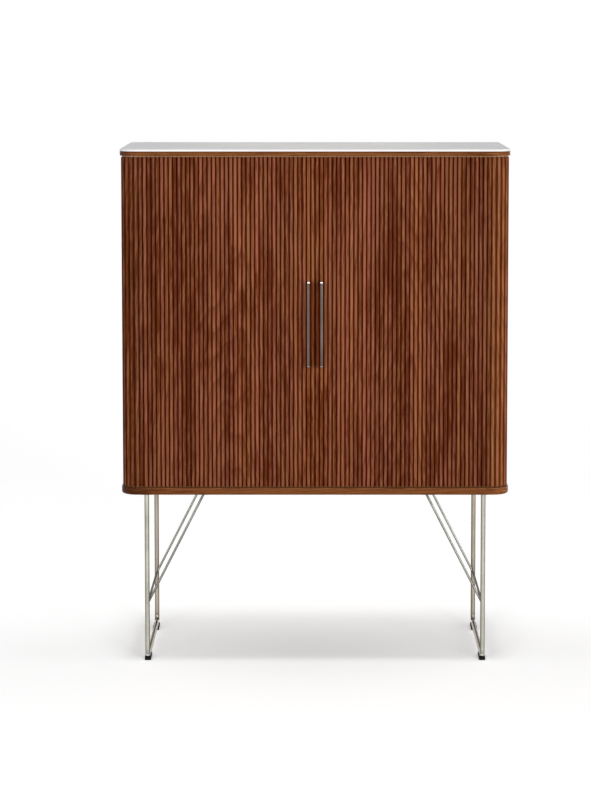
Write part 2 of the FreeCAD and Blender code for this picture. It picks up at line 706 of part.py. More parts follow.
def glide(rear):
    """A foot pad clipped up around the runner, close to a leg, with a slot that follows the bend."""
    y0 = Y_LEG_FRONT + GLIDE_FROM_LEG
    y_bend = Y_LEG_FRONT + LEG_BEND
    slot_y0 = y_bend
    if rear:
        y0 = Y_LEG_REAR - GLIDE_FROM_LEG - GLIDE_L
        y_bend = Y_LEG_REAR - LEG_BEND
        slot_y0 = y_bend - GLIDE_L
    corners = [
        V(X_LEG - GLIDE_W / 2, y0, 0),
        V(X_LEG + GLIDE_W / 2, y0, 0),
        V(X_LEG + GLIDE_W / 2, y0 + GLIDE_L, 0),
        V(X_LEG - GLIDE_W / 2, y0 + GLIDE_L, 0),
    ]
    pad = Part.Face(bent_wire(corners, [GLIDE_EASE] * 4, closed=True)).extrude(V(0, 0, GLIDE_H))
    half = LEG_D / 2 + GLIDE_CLEAR
    slot = block(X_LEG - half, X_LEG + half, slot_y0, slot_y0 + GLIDE_L, Z_RUNNER - half, GLIDE_H)
    bend_at = V(X_LEG - half, y_bend, Z_RUNNER + LEG_BEND)
    bend = Part.makeCylinder(LEG_BEND + half, 2 * half, bend_at, V(1, 0, 0))
    return pad.cut([slot, bend])


def save(name, solids):
    """Writes one node, a single solid or a group of solids."""
    shape = solids
    if isinstance(solids, list):
        shape = Part.makeCompound(solids)
    shape.exportStep(f"parts/{name}.step")


def save_pair(name, solids):
    """Writes a right-hand node and its left-hand twin."""
    save(f"right_{name}", solids)
    if isinstance(solids, list):
        save(f"left_{name}", [mirrored(s) for s in solids])
    else:
        save(f"left_{name}", mirrored(solids))


def both(solids):
    """Right-hand solids followed by their twins, for nodes that hold both sides."""
    return solids + [mirrored(s) for s in solids]


os.makedirs("parts", exist_ok=True)

save("top_slab", top_slab())
save("top_board", top_board())
save("bottom_board", bottom_board())
save_pair("rear_post", rear_post())
save("back_panel", back_panel())
save("back_screws", back_screws())
save("inner_back", inner_back())
save_pair("inner_side", inner_side())
save("panel_dowels", dowel_bodies(0, 0))

save("bay_shelf", bay_shelf())
save("bay_dowels", both(bay_dowels(0)))
save("lower_shelf", loose_shelf(Z_SHELF, SHELF_T))
save("glass_shelf", loose_shelf(Z_GLASS, GLASS_T))
save("shelf_pins", both(pins(0)))
save_pair("cleat", cleat())
save("catch_blocks", both([catch_block()]))
save("catch_magnets", both([catch_magnet()]))
save_pair("pivot_bush", pivot_bush())

save("fold_out_shelf", fold_out_shelf())
save("pivot_pins", both([pivot_pin(0)]))
save("catch_strikes", both([catch_strike(0)]))

save_pair("lead_rail", lead_rail())
save_pair("handle", handle())
save_pair("handle_screws", handle_screws())
save_pair("run_slats", slats(LEAD_RUN, RUN_COUNT))
save_pair("run_canvas", run_canvas())
save_pair("corner_slats", slats(WRAP_START, CORNER_COUNT))
save_pair("side_slats", slats(SIDE_START, SIDE_COUNT))
save_pair("wrap_canvas", wrap_canvas())

save_pair("leg_frame", leg_frame())
save_pair("brace", brace())
save_pair("leg_bar", bar(X_LEG))
save_pair("brace_bar", bar(X_BRACE_TOP))
save("leg_screws", leg_screws())
for end in ("front", "rear"):
    pad = glide(end == "rear")
    save(f"{end}_right_glide", pad)
    save(f"{end}_left_glide", mirrored(pad))
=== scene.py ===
import bmesh
import bpy
import math
import random
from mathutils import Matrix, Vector


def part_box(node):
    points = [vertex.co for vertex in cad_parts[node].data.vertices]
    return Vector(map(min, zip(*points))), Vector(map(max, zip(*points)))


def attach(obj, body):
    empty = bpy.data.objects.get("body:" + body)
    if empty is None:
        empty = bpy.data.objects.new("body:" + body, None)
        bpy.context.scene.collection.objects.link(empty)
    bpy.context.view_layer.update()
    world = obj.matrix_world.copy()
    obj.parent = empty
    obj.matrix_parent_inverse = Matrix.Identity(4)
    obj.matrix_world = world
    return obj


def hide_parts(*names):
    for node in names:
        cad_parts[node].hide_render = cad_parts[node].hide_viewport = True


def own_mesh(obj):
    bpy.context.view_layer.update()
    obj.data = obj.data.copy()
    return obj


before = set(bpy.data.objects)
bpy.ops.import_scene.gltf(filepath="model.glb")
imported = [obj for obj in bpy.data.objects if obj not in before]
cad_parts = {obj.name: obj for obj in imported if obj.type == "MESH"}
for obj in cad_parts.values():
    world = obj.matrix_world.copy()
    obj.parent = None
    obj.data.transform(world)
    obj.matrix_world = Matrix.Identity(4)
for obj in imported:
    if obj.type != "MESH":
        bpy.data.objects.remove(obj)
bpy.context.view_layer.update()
bpy.ops.object.select_all(action="DESELECT")


# Leg frames and braces. On each side one 12 mm steel bar is bent into front leg, floor runner and rear leg,
# and a 6 mm bar is bent up from it to the cabinet's underside. Both are ground to a satin along their length,
# with painted shade on their flanks. The legs carry painted shade towards the rear and at the rear bend, the
# runner is polished bright with a painted dark reflection along its top, and the braces carry painted shade
# near their tops, under the cabinet.
def new_finish(name, **constants):
    """A material with one Principled shader, whose plain sockets are set by name."""
    material = bpy.data.materials.new(name)
    material.use_nodes = True
    shader = material.node_tree.nodes["Principled BSDF"]
    for socket, value in constants.items():
        shader.inputs[socket.replace("_", " ")].default_value = value
    return material, material.node_tree, shader


def add_node(tree, kind, settings=None, **sockets):
    """A shader node with its settings and inputs, each named or, as in _0, numbered; an output is linked."""
    node = tree.nodes.new("ShaderNode" + kind)
    for key, value in (settings or {}).items():
        setattr(node, key, value)
    for key, value in sockets.items():
        socket = node.inputs[int(key[1:])] if key[0] == "_" else node.inputs[key.replace("_", " ")]
        if isinstance(value, bpy.types.NodeSocket):
            tree.links.new(value, socket)
        else:
            socket.default_value = value
    return node


def object_place(tree, shift=(0, 0, 0), turn=(0, 0, 0), scale=(1, 1, 1)):
    """Object coordinates, scaled, turned and then shifted."""
    place = add_node(tree, "TexCoord").outputs["Object"]
    mapping = add_node(tree, "Mapping", Vector=place, Location=shift, Rotation=turn, Scale=scale)
    return mapping.outputs["Vector"]


def axes_of(tree, kind="Object"):
    """The X, Y and Z of a point's place on the object, or of its Normal."""
    return add_node(tree, "SeparateXYZ", Vector=add_node(tree, "TexCoord").outputs[kind]).outputs


def noise(tree, scale, detail=2.0, roughness=0.5, place=None):
    """Noise on the object's own coordinates, or on those of another place."""
    if place is None:
        place = object_place(tree)
    texture = add_node(tree, "TexNoise", Vector=place, Scale=scale, Detail=detail, Roughness=roughness)
    return texture.outputs["Fac"]


def spread(tree, value, low, high, to_low=0.0, to_high=1.0):
    """A value stretched from one range to another, and held at its ends."""
    node = add_node(tree, "MapRange", _0=value, _1=low, _2=high, _3=to_low, _4=to_high)
    return node.outputs[0]


def maths(tree, operation, first, second=0.5):
    """The result of a sum on one or two values."""
    return add_node(tree, "Math", {"operation": operation}, _0=first, _1=second).outputs[0]


def colour_mix(tree, amount, first, second, blend="MIX"):
    """The first colour going over to the second as the amount grows."""
    node = add_node(tree, "Mix", {"data_type": "RGBA", "blend_type": blend}, _0=amount, _6=first, _7=second)
    return node.outputs[2]


def tint(tree, amount, colour, by):
    """A colour multiplied by another as far as the amount says."""
    return colour_mix(tree, amount, colour, by, "MULTIPLY")


def relief(tree, shader, height, depth, strength):
    """Bump of a given depth in metres on the shader's normal."""
    bump = add_node(tree, "Bump", Height=height, Distance=depth, Strength=strength)
    tree.links.new(bump.outputs["Normal"], shader.inputs["Normal"])


def coat(tree, shader, colour, rough):
    """Links a colour and a roughness to the shader."""
    tree.links.new(colour, shader.inputs["Base Color"])
    tree.links.new(rough, shader.inputs["Roughness"])


def dress(material, *nodes):
    """Gives CAD nodes a finish."""
    for name in nodes:
        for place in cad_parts[name].material_slots:
            place.material = material


SIDES = {"left": -1, "right": 1}
NOISE_MIDDLE = (0.35, 0.65)
NOISE_WIDE = (0.3, 0.7)
BRUSHED = (1, 1, 0.04)
STEEL_DARK = (0.300, 0.291, 0.249, 1)
STEEL_LIGHT = (0.425, 0.412, 0.356, 1)
STEEL_RIM = (0.51, 0.47, 0.42, 1)
FLANK_SHADE = (0.42, 0.42, 0.39, 1)
FLANK_SHADE_FROM = 0.50


def ground_steel(name, rim):
    """A finish of steel ground lengthways: its material, tree, shader, drifting tone with painted shade on the
    flanks, and roughness.
    """
    material, tree, shader = new_finish(name, Metallic=1.0, Specular_Tint=rim)
    drift = noise(tree, scale=9.0, detail=3.0)
    tone = colour_mix(tree, spread(tree, drift, *NOISE_MIDDLE), STEEL_DARK, STEEL_LIGHT)
    # Painted shade: the bar's sideways-facing flanks are darkened.
    sideways = maths(tree, "ABSOLUTE", axes_of(tree, "Normal")["X"])
    tone = tint(tree, spread(tree, sideways, FLANK_SHADE_FROM, 1.0), tone, FLANK_SHADE)
    lines = noise(tree, scale=1600.0, place=object_place(tree, scale=BRUSHED))
    relief(tree, shader, lines, depth=0.00004, strength=0.35)
    return material, tree, shader, tone, spread(tree, lines, *NOISE_WIDE, to_low=0.27, to_high=0.42)


REAR_SHADE_TINT = (0.82, 0.73, 0.68, 1)
REAR_FROM, REAR_TO = -0.1, 0.15
BEND_SHADE = (0.40, 0.37, 0.33, 1)
BEND_TOP = 0.045
RUNNER_POLISH = (0.82, 0.83, 0.83, 1)
RUNNER_DARK_REFLECTION = (0.150, 0.150, 0.145, 1)
REFLECTION_FROM, REFLECTION_TO = 0.84, 0.95
RUNNER_TOP = 0.0152
RUNNER_FADE = 0.001
RUNNER_SMOOTHER = 0.15
satin_steel, tree, shader, tone, rough = ground_steel("satin_steel", STEEL_RIM)
axes = axes_of(tree)
# Painted shade: the rear legs are tinted darker and browner.
rear = tint(tree, 1.0, tone, REAR_SHADE_TINT)
# Painted shade: the rear leg darkens low down at its bend.
rear = tint(tree, spread(tree, axes["Z"], RUNNER_TOP, BEND_TOP, 1.0, 0.0), rear, BEND_SHADE)
rear_shaded = colour_mix(tree, spread(tree, axes["Y"], REAR_FROM, REAR_TO), tone, rear)
runner = spread(tree, axes["Z"], RUNNER_TOP, RUNNER_TOP + RUNNER_FADE, 1.0, 0.0)
# Painted reflection: the upward-facing top of the runner is painted dark.
dark_reflection = spread(tree, axes_of(tree, "Normal")["Z"], REFLECTION_FROM, REFLECTION_TO)
polish = colour_mix(tree, dark_reflection, RUNNER_POLISH, RUNNER_DARK_REFLECTION)
smoother = maths(tree, "MULTIPLY", runner, RUNNER_SMOOTHER)
coat(tree, shader, colour_mix(tree, runner, rear_shaded, polish), maths(tree, "SUBTRACT", rough, smoother))

BRACE_TINT = (0.55, 0.565, 0.585, 1)
BRACE_RIM = (0.52, 0.50, 0.46, 1)
BRACE_TOP_SHADE = (0.55, 0.53, 0.52, 1)
BRACE_SHADE_REACH = 0.035
brace_steel, tree, shader, tone, rough = ground_steel("brace_steel", BRACE_RIM)
brace_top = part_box("left_brace")[1].z
# Painted shade: the braces darken near their tops, under the cabinet.
near_underside = spread(tree, axes_of(tree)["Z"], brace_top - BRACE_SHADE_REACH, brace_top)
coat(tree, shader, tint(tree, near_underside, tint(tree, 1.0, tone, BRACE_TINT), BRACE_TOP_SHADE), rough)
for side in SIDES:
    dress(satin_steel, f"{side}_leg_frame")
    dress(brace_steel, f"{side}_brace")


# Flat bars and their screws. The rods end on 3 mm flat bars, painted grey, that are screwed up into the
# cabinet's underside with zinc-plated pan-head screws.
BAR_GREY = (0.16, 0.155, 0.15, 1)
BAR_SCUFF = (0.24, 0.235, 0.23, 1)
SCUFFED = (0.55, 0.75)
bar_steel, tree, shader = new_finish("bar_steel", Metallic=0.0)
scuffs = spread(tree, noise(tree, scale=30.0, detail=5.0, roughness=0.7), *SCUFFED)
rough = spread(tree, scuffs, 0.0, 1.0, to_low=0.45, to_high=0.62)
coat(tree, shader, colour_mix(tree, scuffs, BAR_GREY, BAR_SCUFF), rough)
relief(tree, shader, noise(tree, scale=700.0, detail=3.0), depth=0.00006, strength=0.5)
for side in SIDES:
    dress(bar_steel, f"{side}_leg_bar", f"{side}_brace_bar")

ZINC_PALE = (0.62, 0.63, 0.64, 1)
ZINC_TARNISH = (0.46, 0.45, 0.42, 1)
TARNISHED = (0.4, 0.7)
plated_steel, tree, shader = new_finish("plated_steel", Metallic=1.0)
bloom = spread(tree, noise(tree, scale=160.0, detail=4.0, roughness=0.65), *TARNISHED)
rough = spread(tree, bloom, 0.0, 1.0, to_low=0.22, to_high=0.45)
coat(tree, shader, colour_mix(tree, bloom, ZINC_PALE, ZINC_TARNISH), rough)
dress(plated_steel, "leg_screws")


# Glides. Black nylon pads clipped up around the runners near each leg, with a fine spark-eroded mould skin
# and paler rubbed spots low down where they meet the floor.
NYLON_BLACK = (0.004, 0.004, 0.004, 1)
NYLON_RUBBED = (0.020, 0.020, 0.019, 1)
RUB_HEIGHT = 0.0025
black_nylon, tree, shader = new_finish("black_nylon", Specular_IOR_Level=0.08)
near_floor = spread(tree, axes_of(tree)["Z"], 0.0, RUB_HEIGHT, 1.0, 0.0)
paler_and_highlit = maths(tree, "MULTIPLY", near_floor, noise(tree, scale=300.0, detail=4.0))
grit = noise(tree, scale=2600.0)
rough = spread(tree, grit, *NOISE_WIDE, to_low=0.42, to_high=0.6)
coat(tree, shader, colour_mix(tree, paler_and_highlit, NYLON_BLACK, NYLON_RUBBED), rough)
relief(tree, shader, grit, depth=0.00008, strength=0.6)
for side in SIDES:
    dress(black_nylon, f"front_{side}_glide", f"rear_{side}_glide")


# Bottom board and top board. Oiled walnut boards with long grain from side to side. The growth rings run out
# along the board as broad arches, with fine fibre lines and short dark pores. Both carry painted shade at the
# left end and painted light at the right. The top board's upper edge carries a painted shadow under the slab;
# the bottom board's is paler and greyer in a thin band.
def walnut_group():
    """Walnut with its grain along Z: colour, roughness and height from rings, fibres and pores."""
    group = bpy.data.node_groups.new("walnut", "ShaderNodeTree")
    for name, kind in (
        ("Place", "NodeSocketVector"),
        ("Light", "NodeSocketColor"),
        ("Mid", "NodeSocketColor"),
        ("Dark", "NodeSocketColor"),
        ("Rings", "NodeSocketFloat"),
        ("Shift", "NodeSocketFloat"),
    ):
        group.interface.new_socket(name=name, in_out="INPUT", socket_type=kind)
    for name, kind in (
        ("Colour", "NodeSocketColor"),
        ("Rough", "NodeSocketFloat"),
        ("Height", "NodeSocketFloat"),
    ):
        group.interface.new_socket(name=name, in_out="OUTPUT", socket_type=kind)
    given = group.nodes.new("NodeGroupInput").outputs
    result = group.nodes.new("NodeGroupOutput")

    def stretched(along, scale, detail, roughness=0.5):
        """Noise drawn out along the grain."""
        place = add_node(group, "Mapping", Vector=given["Place"], Scale=(1, 1, along)).outputs["Vector"]
        return noise(group, scale, detail, roughness, place)

    heart_depth = 0.05
    taper = 0.055
    wander_depth = 0.05
    rings_per_metre = 150.0
    ring_starts, ring_ends = 0.15, 0.88
    ring_curve = 1.8
    axes = add_node(group, "SeparateXYZ", Vector=given["Place"]).outputs
    depth = maths(group, "ADD", axes["Y"], heart_depth)
    squares = [maths(group, "POWER", side, 2.0) for side in (axes["X"], depth)]
    radius = maths(group, "SQRT", maths(group, "ADD", *squares))
    lean = maths(group, "MULTIPLY", axes["Z"], taper)
    wander = maths(group, "SUBTRACT", stretched(along=0.18, scale=9.0, detail=1.5), 0.5)
    wander = maths(group, "MULTIPLY", wander, wander_depth)
    growth = maths(group, "ADD", maths(group, "ADD", radius, lean), wander)
    year = maths(group, "FRACT", maths(group, "MULTIPLY", growth, rings_per_metre))
    rise = maths(group, "POWER", spread(group, year, ring_starts, ring_ends), ring_curve)
    late_wood = maths(group, "MULTIPLY", rise, spread(group, year, ring_ends, 1.0, 1.0, 0.0))

    patches = (
        {"along": 0.10, "scale": 15.0, "palest": 0.60},
        {"along": 0.05, "scale": 95.0, "palest": 0.54},
        {"along": 0.16, "scale": 110.0, "palest": 0.34},
        {"along": 0.03, "scale": 330.0, "palest": 0.44},
        {"along": 0.13, "scale": 300.0, "palest": 0.40},
    )
    patch_darkest = -0.19
    drift = given["Shift"]
    for patch in patches:
        cloud = stretched(patch["along"], patch["scale"], detail=2.0)
        cloud = spread(group, cloud, *NOISE_MIDDLE, patch_darkest, patch["palest"])
        drift = maths(group, "ADD", drift, cloud)

    fibre_range, fibre_dark = (0.35, 0.75), 0.55
    pore_range, pore_dark = (0.64, 0.74), 0.55
    grain_range = (0.3, 1.4)
    fibre = stretched(along=0.012, scale=1100.0, detail=3.0, roughness=0.65)
    pores = spread(group, stretched(along=0.03, scale=2400.0, detail=1.0), *pore_range)
    base = colour_mix(group, drift, given["Mid"], given["Light"])
    ringed = colour_mix(group, maths(group, "MULTIPLY", late_wood, given["Rings"]), base, given["Dark"])
    streaked = colour_mix(group, spread(group, fibre, *fibre_range, 0.0, fibre_dark), ringed, given["Dark"])
    pored = colour_mix(group, maths(group, "MULTIPLY", pores, pore_dark), streaked, given["Dark"])
    rough = spread(group, maths(group, "ADD", fibre, pores), *grain_range, to_low=0.40, to_high=0.62)
    high = maths(group, "SUBTRACT", fibre, pores)
    for name, value in (("Colour", pored), ("Rough", rough), ("Height", high)):
        group.links.new(value, result.inputs[name])
    return group


walnut = walnut_group()
GRAIN_DEPTH = 0.00012
GRAIN_STRENGTH = 0.6
OIL_SHINE = 0.12
OIL_TINT = (0.95, 0.62, 0.42, 1)
ALONG_X = (0, math.radians(90), 0)


def walnut_finish(name, tones, rings, turn=(0, 0, 0), shift=(0, 0, 0), shine=OIL_SHINE):
    """An oiled walnut material; the turn lays the grain along another axis, and the shift picks the cut."""
    material, tree, shader = new_finish(name, Specular_IOR_Level=shine, Specular_Tint=OIL_TINT)
    place = object_place(tree, shift, turn)
    wood = add_node(tree, "Group", {"node_tree": walnut}, Place=place, Rings=rings, **tones)
    coat(tree, shader, wood.outputs["Colour"], wood.outputs["Rough"])
    relief(tree, shader, wood.outputs["Height"], GRAIN_DEPTH, GRAIN_STRENGTH)
    return material, tree, shader, wood


# Painted shade at each board's left end and painted light at its right end.
LEFT_END_SHADE = (0.30, 0.24, 0.24, 1)
RIGHT_END_LIGHT = (1.40, 1.50, 1.70, 1)
RIGHT_LIGHT_REACH, RIGHT_LIGHT_FULL = 0.07, 0.035
BOARD_RINGS = 0.5
BAND_FADE = 1.3


def dress_board(node, name, tones, shift, left_shade_reach, band_tint, band_width):
    """Gives a board its walnut, with painted shade at its left end, painted light at its right end, and a band
    along its upper edge.
    """
    material, tree, shader, wood = walnut_finish(name, tones, BOARD_RINGS, ALONG_X, shift)
    axes = axes_of(tree)
    left, right = (corner.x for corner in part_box("top_board"))
    left_shade = spread(tree, axes["X"], left, left + left_shade_reach, 1.0, 0.0)
    right_light = spread(tree, axes["X"], right - RIGHT_LIGHT_REACH, right - RIGHT_LIGHT_FULL)
    tone = tint(tree, right_light, tint(tree, left_shade, wood.outputs["Colour"], LEFT_END_SHADE), RIGHT_END_LIGHT)
    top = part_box(node)[1].z
    band = spread(tree, axes["Z"], top - band_width * BAND_FADE, top - band_width)
    tree.links.new(tint(tree, band, tone, band_tint), shader.inputs["Base Color"])
    dress(material, node)


BOARD_DARK = (0.055, 0.011, 0.002, 1)
TOP_TONES = {"Light": (0.266, 0.094, 0.0265, 1), "Mid": (0.110, 0.0295, 0.0049, 1), "Dark": BOARD_DARK}
TOP_CUT = (0, 0.03, 0.02)
TOP_LEFT_SHADE = 0.035
# Painted shadow: the top board's upper edge, under the slab, is darkened.
SLAB_SHADOW_EDGE = (0.62, 0.58, 0.62, 1)
SLAB_SHADOW_WIDTH = 0.003
dress_board("top_board", "top_walnut", TOP_TONES, TOP_CUT, TOP_LEFT_SHADE, SLAB_SHADOW_EDGE, SLAB_SHADOW_WIDTH)

FOOT_TONES = {"Light": (0.219, 0.0735, 0.0205, 1), "Mid": (0.083, 0.021, 0.0033, 1), "Dark": BOARD_DARK}
FOOT_CUT = (0.3, 0.05, 0.1)
FOOT_LEFT_SHADE = 0.10
# The bottom board's upper edge is paler and greyer in a thin band.
PALER_EDGE = (1.12, 1.25, 1.75, 1)
PALER_EDGE_WIDTH = 0.0022
dress_board("bottom_board", "foot_walnut", FOOT_TONES, FOOT_CUT, FOOT_LEFT_SHADE, PALER_EDGE, PALER_EDGE_WIDTH)


# Rear posts, inner sides and inner back. The posts are solid walnut, hollowed where the slats turn into the
# back. The inner panels are walnut-veneered boards on beech dowels that keep the contents off the slats.
POST_TONES = {
    "Light": (0.235, 0.090, 0.036, 1),
    "Mid": (0.140, 0.046, 0.016, 1),
    "Dark": (0.060, 0.015, 0.004, 1),
}
post_walnut, *_ = walnut_finish("post_walnut", POST_TONES, rings=0.5, shift=(0.1, 0, 0))
dress(post_walnut, "left_rear_post", "right_rear_post")

VENEER_TONES = {
    "Light": (0.28, 0.125, 0.056, 1),
    "Mid": (0.185, 0.074, 0.030, 1),
    "Dark": (0.080, 0.026, 0.009, 1),
}
upright_veneer, *_ = walnut_finish("upright_veneer", VENEER_TONES, rings=0.6)
dress(upright_veneer, "inner_back", "left_inner_side", "right_inner_side", "catch_blocks")

BEECH_TONES = {
    "Light": (0.62, 0.42, 0.24, 1),
    "Mid": (0.52, 0.34, 0.19, 1),
    "Dark": (0.36, 0.20, 0.10, 1),
}
beech, *_ = walnut_finish("beech", BEECH_TONES, rings=0.15)
dress(beech, "panel_dowels", "bay_dowels")


# Back panel. A 6 mm walnut-faced board screwed to the rear posts with plated pan-head screws. It is plainer
# and browner than the front, with upright grain in wide flat-cut arches.
BACK_TONES = {
    "Light": (0.25, 0.112, 0.052, 1),
    "Mid": (0.165, 0.068, 0.029, 1),
    "Dark": (0.080, 0.028, 0.011, 1),
}
back_veneer, *_ = walnut_finish("back_veneer", BACK_TONES, rings=0.65, shift=(0.12, 0, 0))
dress(back_veneer, "back_panel")
dress(plated_steel, "back_screws")


# Shelves and their hardware. The walnut-veneered bay shelf is dowelled between the inner sides; the lower
# shelf and the polished glass shelf lie loose on steel pins. Two walnut battens carry the fold-out shelf when
# it is down, and nylon bushes in the inner sides take its pivot pins.
ALONG_Y = (math.radians(90), 0, 0)
shelf_walnut, *_ = walnut_finish("shelf_walnut", VENEER_TONES, rings=0.6, turn=ALONG_X, shift=(0, 0, 0.15))
dress(shelf_walnut, "bay_shelf", "lower_shelf")
batten_walnut, *_ = walnut_finish("batten_walnut", POST_TONES, rings=0.4, turn=ALONG_Y)
dress(batten_walnut, "left_cleat", "right_cleat")
dress(plated_steel, "shelf_pins", "catch_magnets")

GLASS_TINT = (0.90, 0.965, 0.945, 1)
GLASS_EDGE = (0.16, 0.34, 0.28, 1)
ROUNDED = (0.3, 0.8)
WIPED = (1, 0.3, 1)
SMEARED = (0.45, 0.75)
clear_glass, tree, shader = new_finish("clear_glass", Transmission_Weight=1.0, IOR=1.52, Metallic=0.0)
level = maths(tree, "ABSOLUTE", axes_of(tree, "Normal")["Z"])
at_edge = spread(tree, level, *ROUNDED, 1.0, 0.0)
smears = noise(tree, scale=14.0, detail=4.0, roughness=0.6, place=object_place(tree, scale=WIPED))
rough = spread(tree, smears, *SMEARED, to_low=0.0, to_high=0.06)
coat(tree, shader, colour_mix(tree, at_edge, GLASS_TINT, GLASS_EDGE), rough)
dress(clear_glass, "glass_shelf")

BUSH_PALE = (0.72, 0.70, 0.64, 1)
BUSH_SHADE = (0.58, 0.56, 0.50, 1)
pale_nylon, tree, shader = new_finish("pale_nylon")
cloud = noise(tree, scale=220.0, detail=3.0)
rough = spread(tree, cloud, *NOISE_WIDE, to_low=0.35, to_high=0.5)
coat(tree, shader, colour_mix(tree, cloud, BUSH_SHADE, BUSH_PALE), rough)
dress(pale_nylon, "left_pivot_bush", "right_pivot_bush")


# Fold-out shelf. One walnut-veneered board that stands upright behind the doors and folds forward on two
# steel pivot pins in its ends. Steel discs let into its back meet the magnets that hold it up.
flap_walnut, *_ = walnut_finish("flap_walnut", VENEER_TONES, rings=0.8, turn=ALONG_X, shift=(0, -0.05, 0.3))
dress(flap_walnut, "fold_out_shelf")
dress(plated_steel, "pivot_pins", "catch_strikes")


# Tambour slats. Each is a narrow walnut reed on a wider base, with a tongue at both ends that runs in a groove
# in the boards. They are sawn from many boards and set side by side, so each has its own tone of brown.
SLAT_PITCH = 0.011
SLAT_GAP = 0.0006
SLAT_T = 0.007
SLAT_BASE_T = 0.0026
REED_W = 0.008
REED_ROOT = 0.0005
REED_EASE = 0.0008
TONGUE_T = 0.004
TONGUE_LENGTH = 0.0085
R_PATH = 0.033
CHANNEL = 0.011
LEAD_SLATS = 3
REAR_TURN_SHOW = 0.022
low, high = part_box("right_run_slats")
slat_low, slat_high = low.z, high.z
y_path = low.y + SLAT_T
x_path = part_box("right_side_slats")[1].x - SLAT_T
y_path_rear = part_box("back_panel")[0].y - CHANNEL
front_run = x_path - R_PATH
corner_run = R_PATH * math.pi / 2
side_run = y_path_rear - y_path - 2 * R_PATH


def on_path(run):
    """Place and heading on the line that the backs of the slats follow, a given run from the seam."""
    if run <= front_run:
        return Vector((run, y_path, 0)), 0.0
    run -= front_run
    if run <= corner_run:
        turn = run / R_PATH
        return Vector((front_run + R_PATH * math.sin(turn), y_path + R_PATH * (1 - math.cos(turn)), 0)), turn
    run -= corner_run
    if run <= side_run:
        return Vector((x_path, y_path + R_PATH + run, 0)), math.pi / 2
    turn = (run - side_run) / R_PATH
    x = front_run + R_PATH * math.cos(turn)
    return Vector((x, y_path_rear - R_PATH + R_PATH * math.sin(turn), 0)), math.pi / 2 + turn


def add_block(name, corner, opposite):
    """A cube primitive set between two corners, with its place in its mesh."""
    middle = (Vector(corner) + Vector(opposite)) / 2
    bpy.ops.object.select_all(action="DESELECT")
    bpy.ops.mesh.primitive_cube_add(size=1, location=middle, scale=Vector(opposite) - Vector(corner))
    bpy.ops.object.transform_apply(location=True, rotation=True, scale=True)
    bpy.context.object.name = name
    return bpy.context.object


def cut_across(axis, places):
    """Cuts the whole mesh in edit mode with planes across one axis."""
    for place in places:
        at = [0.0, 0.0, 0.0]
        normal = [0.0, 0.0, 0.0]
        at[axis] = place
        normal[axis] = 1.0
        bpy.ops.mesh.select_all(action="SELECT")
        bpy.ops.mesh.bisect(plane_co=at, plane_no=normal)


def pick_faces(piece, wanted):
    """Selects in edit mode the faces whose centre and normal pass a test."""
    bpy.ops.mesh.select_mode(type="FACE")
    bpy.ops.mesh.select_all(action="DESELECT")
    mesh = bmesh.from_edit_mesh(piece.data)
    for face in mesh.faces:
        face.select_set(wanted(face.calc_center_median(), face.normal))
    bmesh.update_edit_mesh(piece.data)


def pick_edges(piece, wanted):
    """Selects in edit mode the edges whose two ends pass a test."""
    bpy.ops.mesh.select_mode(type="EDGE")
    bpy.ops.mesh.select_all(action="DESELECT")
    mesh = bmesh.from_edit_mesh(piece.data)
    for edge in mesh.edges:
        edge.select_set(wanted(edge.verts[0].co, edge.verts[1].co))
    bmesh.update_edit_mesh(piece.data)


def push_out(distance):
    """Extrudes the selected faces outwards, towards -Y."""
    bpy.ops.mesh.extrude_region_move(TRANSFORM_OT_translate={"value": (0, -distance, 0)})


SAME_PLACE = 1e-5
SQUARE_ON = 0.9
SMOOTH_BELOW = math.radians(35)


def near(a, b):
    """Whether two measures are the same but for rounding."""
    return abs(a - b) < SAME_PLACE


def reeded_piece(name, x0, x1, centres):
    """A base strip with one reed at each centre, tongues at both ends and eased reed edges."""
    half = REED_W / 2
    shoulders = (slat_low + TONGUE_LENGTH, slat_high - TONGUE_LENGTH)
    piece = add_block(name, (x0, -SLAT_BASE_T, slat_low), (x1, 0, slat_high))
    bpy.ops.object.mode_set(mode="EDIT")
    cut_across(0, [c + s * half for c in centres for s in (-1, 1)])
    cut_across(2, shoulders)

    def reed_front(at, normal):
        return normal.y < -SQUARE_ON and any(abs(at.x - c) < half for c in centres)

    def between_tongues(at, normal):
        return normal.y < -SQUARE_ON and near(at.y, -TONGUE_T) and shoulders[0] < at.z < shoulders[1]

    def reed_edge(a, b):
        return near(a.y, -SLAT_T) and near(b.y, -SLAT_T)

    def reed_root(a, b):
        on_base = near(a.y, -SLAT_BASE_T) and near(b.y, -SLAT_BASE_T)
        return near(a.x, b.x) and on_base and any(near(abs(a.x - c), half) for c in centres)

    pick_faces(piece, reed_front)
    push_out(TONGUE_T - SLAT_BASE_T)
    pick_faces(piece, between_tongues)
    push_out(SLAT_T - TONGUE_T)
    pick_edges(piece, reed_edge)
    bpy.ops.mesh.bevel(offset=REED_EASE, segments=2, affect="EDGES")
    pick_edges(piece, reed_root)
    bpy.ops.mesh.bevel(offset=REED_ROOT, segments=1, affect="EDGES")
    bpy.ops.object.mode_set(mode="OBJECT")
    section = piece.data.attributes.new("section", "FLOAT_VECTOR", "POINT")
    places = []
    for vertex in piece.data.vertices:
        across = min((vertex.co.x - c for c in centres), key=abs)
        places += [across / half, -vertex.co.y / SLAT_T, 0.0]
    section.data.foreach_set("vector", places)
    return piece


def give_cut(piece, picks):
    """Stores the picks of lightness, hue and groove redness of each of a slat's vertices on its mesh."""
    cut = piece.data.attributes.new("cut", "FLOAT_VECTOR", "POINT")
    cut.data.foreach_set("vector", picks)


SAW_SEED = 41
saw_order = random.Random(SAW_SEED)
LIGHTNESS_MEAN, LIGHTNESS_SPREAD = 0.5, 0.22


